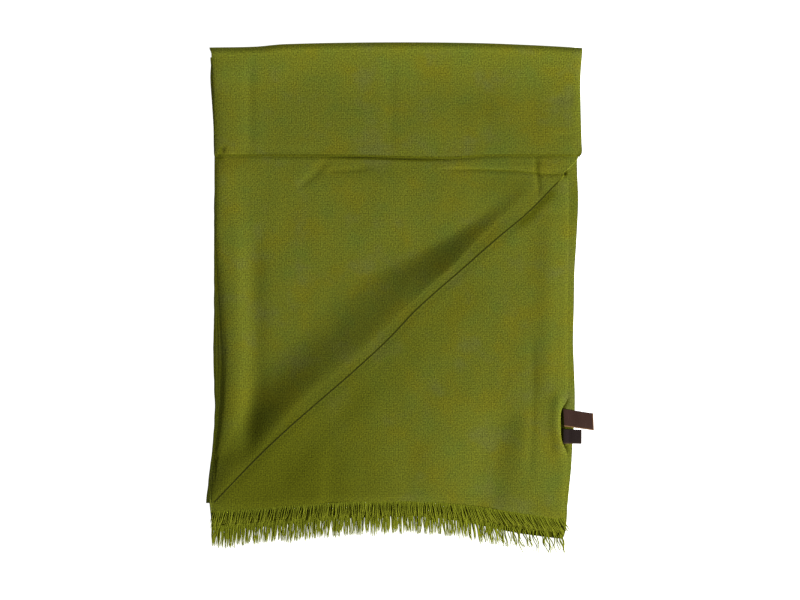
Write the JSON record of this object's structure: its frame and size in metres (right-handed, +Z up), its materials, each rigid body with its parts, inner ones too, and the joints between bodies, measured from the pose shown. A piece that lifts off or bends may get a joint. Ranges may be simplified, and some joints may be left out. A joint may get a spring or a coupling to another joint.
{
  "type": "pashmina shawl, folded flat",
  "caption": "Olive green pashmina shawl folded to a flat packet, with a lap across the top, one corner turned under on a slant, fringed ends and two sewn labels.",
  "frame": {"origin": "on the table under the middle of the folded packet, labels and fringe included", "axes": "+Y from the fringe to the top fold, +X from the folded left side to the selvedges, +Z up from the table"},
  "size_m": [0.3694, 0.4888, 0.0224],
  "materials": {
    "cloth": "matte, fine diamond twill with a light nap",
    "cloth_layers": "matte, stacked folds of the same twill",
    "fringe_yarn": "matte, loose wool yarn",
    "label_brown": "satin woven ribbon",
    "label_dark": "satin woven ribbon"
  },
  "bodies": {
    "root": {"folded_layers": "cloth_layers", "under_leaf": "cloth", "front_leaf": "cloth", "turned_corner": "cloth", "top_lap": "cloth", "front_fringe": "fringe_yarn", "under_fringe": "fringe_yarn", "woven_label": "label_brown", "care_label": "label_dark"}
  },
  "joints": []
}
